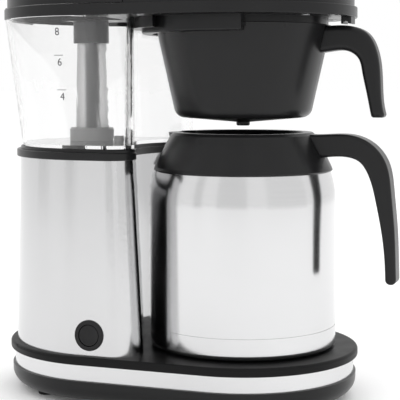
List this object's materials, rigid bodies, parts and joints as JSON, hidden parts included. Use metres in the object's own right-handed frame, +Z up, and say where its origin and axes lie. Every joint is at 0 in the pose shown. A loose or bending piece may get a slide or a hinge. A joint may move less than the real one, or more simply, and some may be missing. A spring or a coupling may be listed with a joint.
{
  "type": "drip coffee maker",
  "caption": "Drip coffee maker: steel water tower with clear tank, brew head with slide-in filter basket, and a thermal carafe on an oval base.",
  "frame": {"origin": "middle of the overall length and depth, at the floor the feet stand on", "axes": "+X to the right, towards the carafe handle; +Y to the back; +Z up; the controls face -Y"},
  "size_m": [0.3098, 0.1766, 0.3073],
  "materials": {
    "black_plastic": "satin moulded black plastic",
    "black_gloss": "smooth black plastic",
    "brushed_steel": "brushed stainless steel",
    "polished_steel": "polished stainless steel",
    "flask_steel": "drawn stainless steel",
    "clear_plastic": "clear moulded plastic",
    "grey_plastic": "translucent grey plastic",
    "clear_tube": "clear tube",
    "rubber_black": "soft black rubber",
    "silicone": "translucent silicone",
    "cast_aluminium": "as cast",
    "zinc_steel": "zinc plated steel",
    "spring_steel": "drawn spring wire",
    "board_green": "soldermask"
  },
  "bodies": {
    "machine": {"base_pan": "black_plastic", "base_plate": "black_plastic", "base_screws": "zinc_steel", "base_trim_band": "brushed_steel", "basket_catch": "black_plastic", "basket_rail": "black_plastic", "boiler": "cast_aluminium", "boiler_bracket": "zinc_steel", "button_spring": "spring_steel", "check_valve": "grey_plastic", "cold_hose_lower": "silicone", "cold_hose_upper": "silicone", "control_board": "board_green", "cord_inlet": "rubber_black", "head_cover": "black_plastic", "head_housing": "black_plastic", "head_screws": "zinc_steel", "hinge_pins": "zinc_steel", "hot_hose": "silicone", "hot_water_duct": "silicone", "outlet_seal": "silicone", "power_switch": "black_plastic", "riser_collar": "clear_tube", "riser_inner_tube": "clear_tube", "riser_socket": "grey_plastic", "riser_tube": "clear_tube", "rubber_feet": "rubber_black", "shower_gasket": "silicone", "shower_head": "black_gloss", "shower_screws": "zinc_steel", "switch_bezel": "black_gloss", "tank_strainer": "black_plastic", "thermal_fuse": "grey_plastic", "thermostat": "black_gloss", "tower_chassis": "black_plastic", "tower_rim": "black_plastic", "tower_side_panel": "polished_steel", "tower_wrap": "brushed_steel", "water_tank": "clear_plastic"},
    "power_button": {"power_button": "black_gloss"},
    "tank_lid": {"tank_lid": "black_plastic", "lid_grip": "rubber_black"},
    "filter_basket": {"basket_body": "black_plastic", "basket_handle": "black_plastic", "basket_nozzle": "black_plastic"},
    "carafe": {"carafe_base_cap": "brushed_steel", "carafe_shell": "brushed_steel", "carafe_groove_ring": "rubber_black", "carafe_liner": "flask_steel", "carafe_collar": "black_plastic", "carafe_seal": "silicone", "carafe_handle": "black_plastic"}
  },
  "joints": [
    {"name": "button_press", "type": "slide", "parent": "machine", "child": "power_button", "axis": [0, 0.9997, -0.0248], "range_m": [0, 0.0025], "stiffness_N_per_m": 400, "springref_m": -0.002, "deforming": ["button_spring"]},
    {"name": "lid_hinge", "type": "hinge", "parent": "machine", "child": "tank_lid", "pos_m": [-0.02438, 0, 0.3041], "axis": [0, 1, 0], "range_deg": [0, 95]},
    {"name": "basket_slide", "type": "slide", "parent": "machine", "child": "filter_basket", "axis": [1, 0, 0], "range_m": [0, 0.17]},
    {"name": "carafe_slide", "type": "slide", "parent": "machine", "child": "carafe", "axis": [1, 0, 0], "range_m": [0, 0.17]}
  ]
}
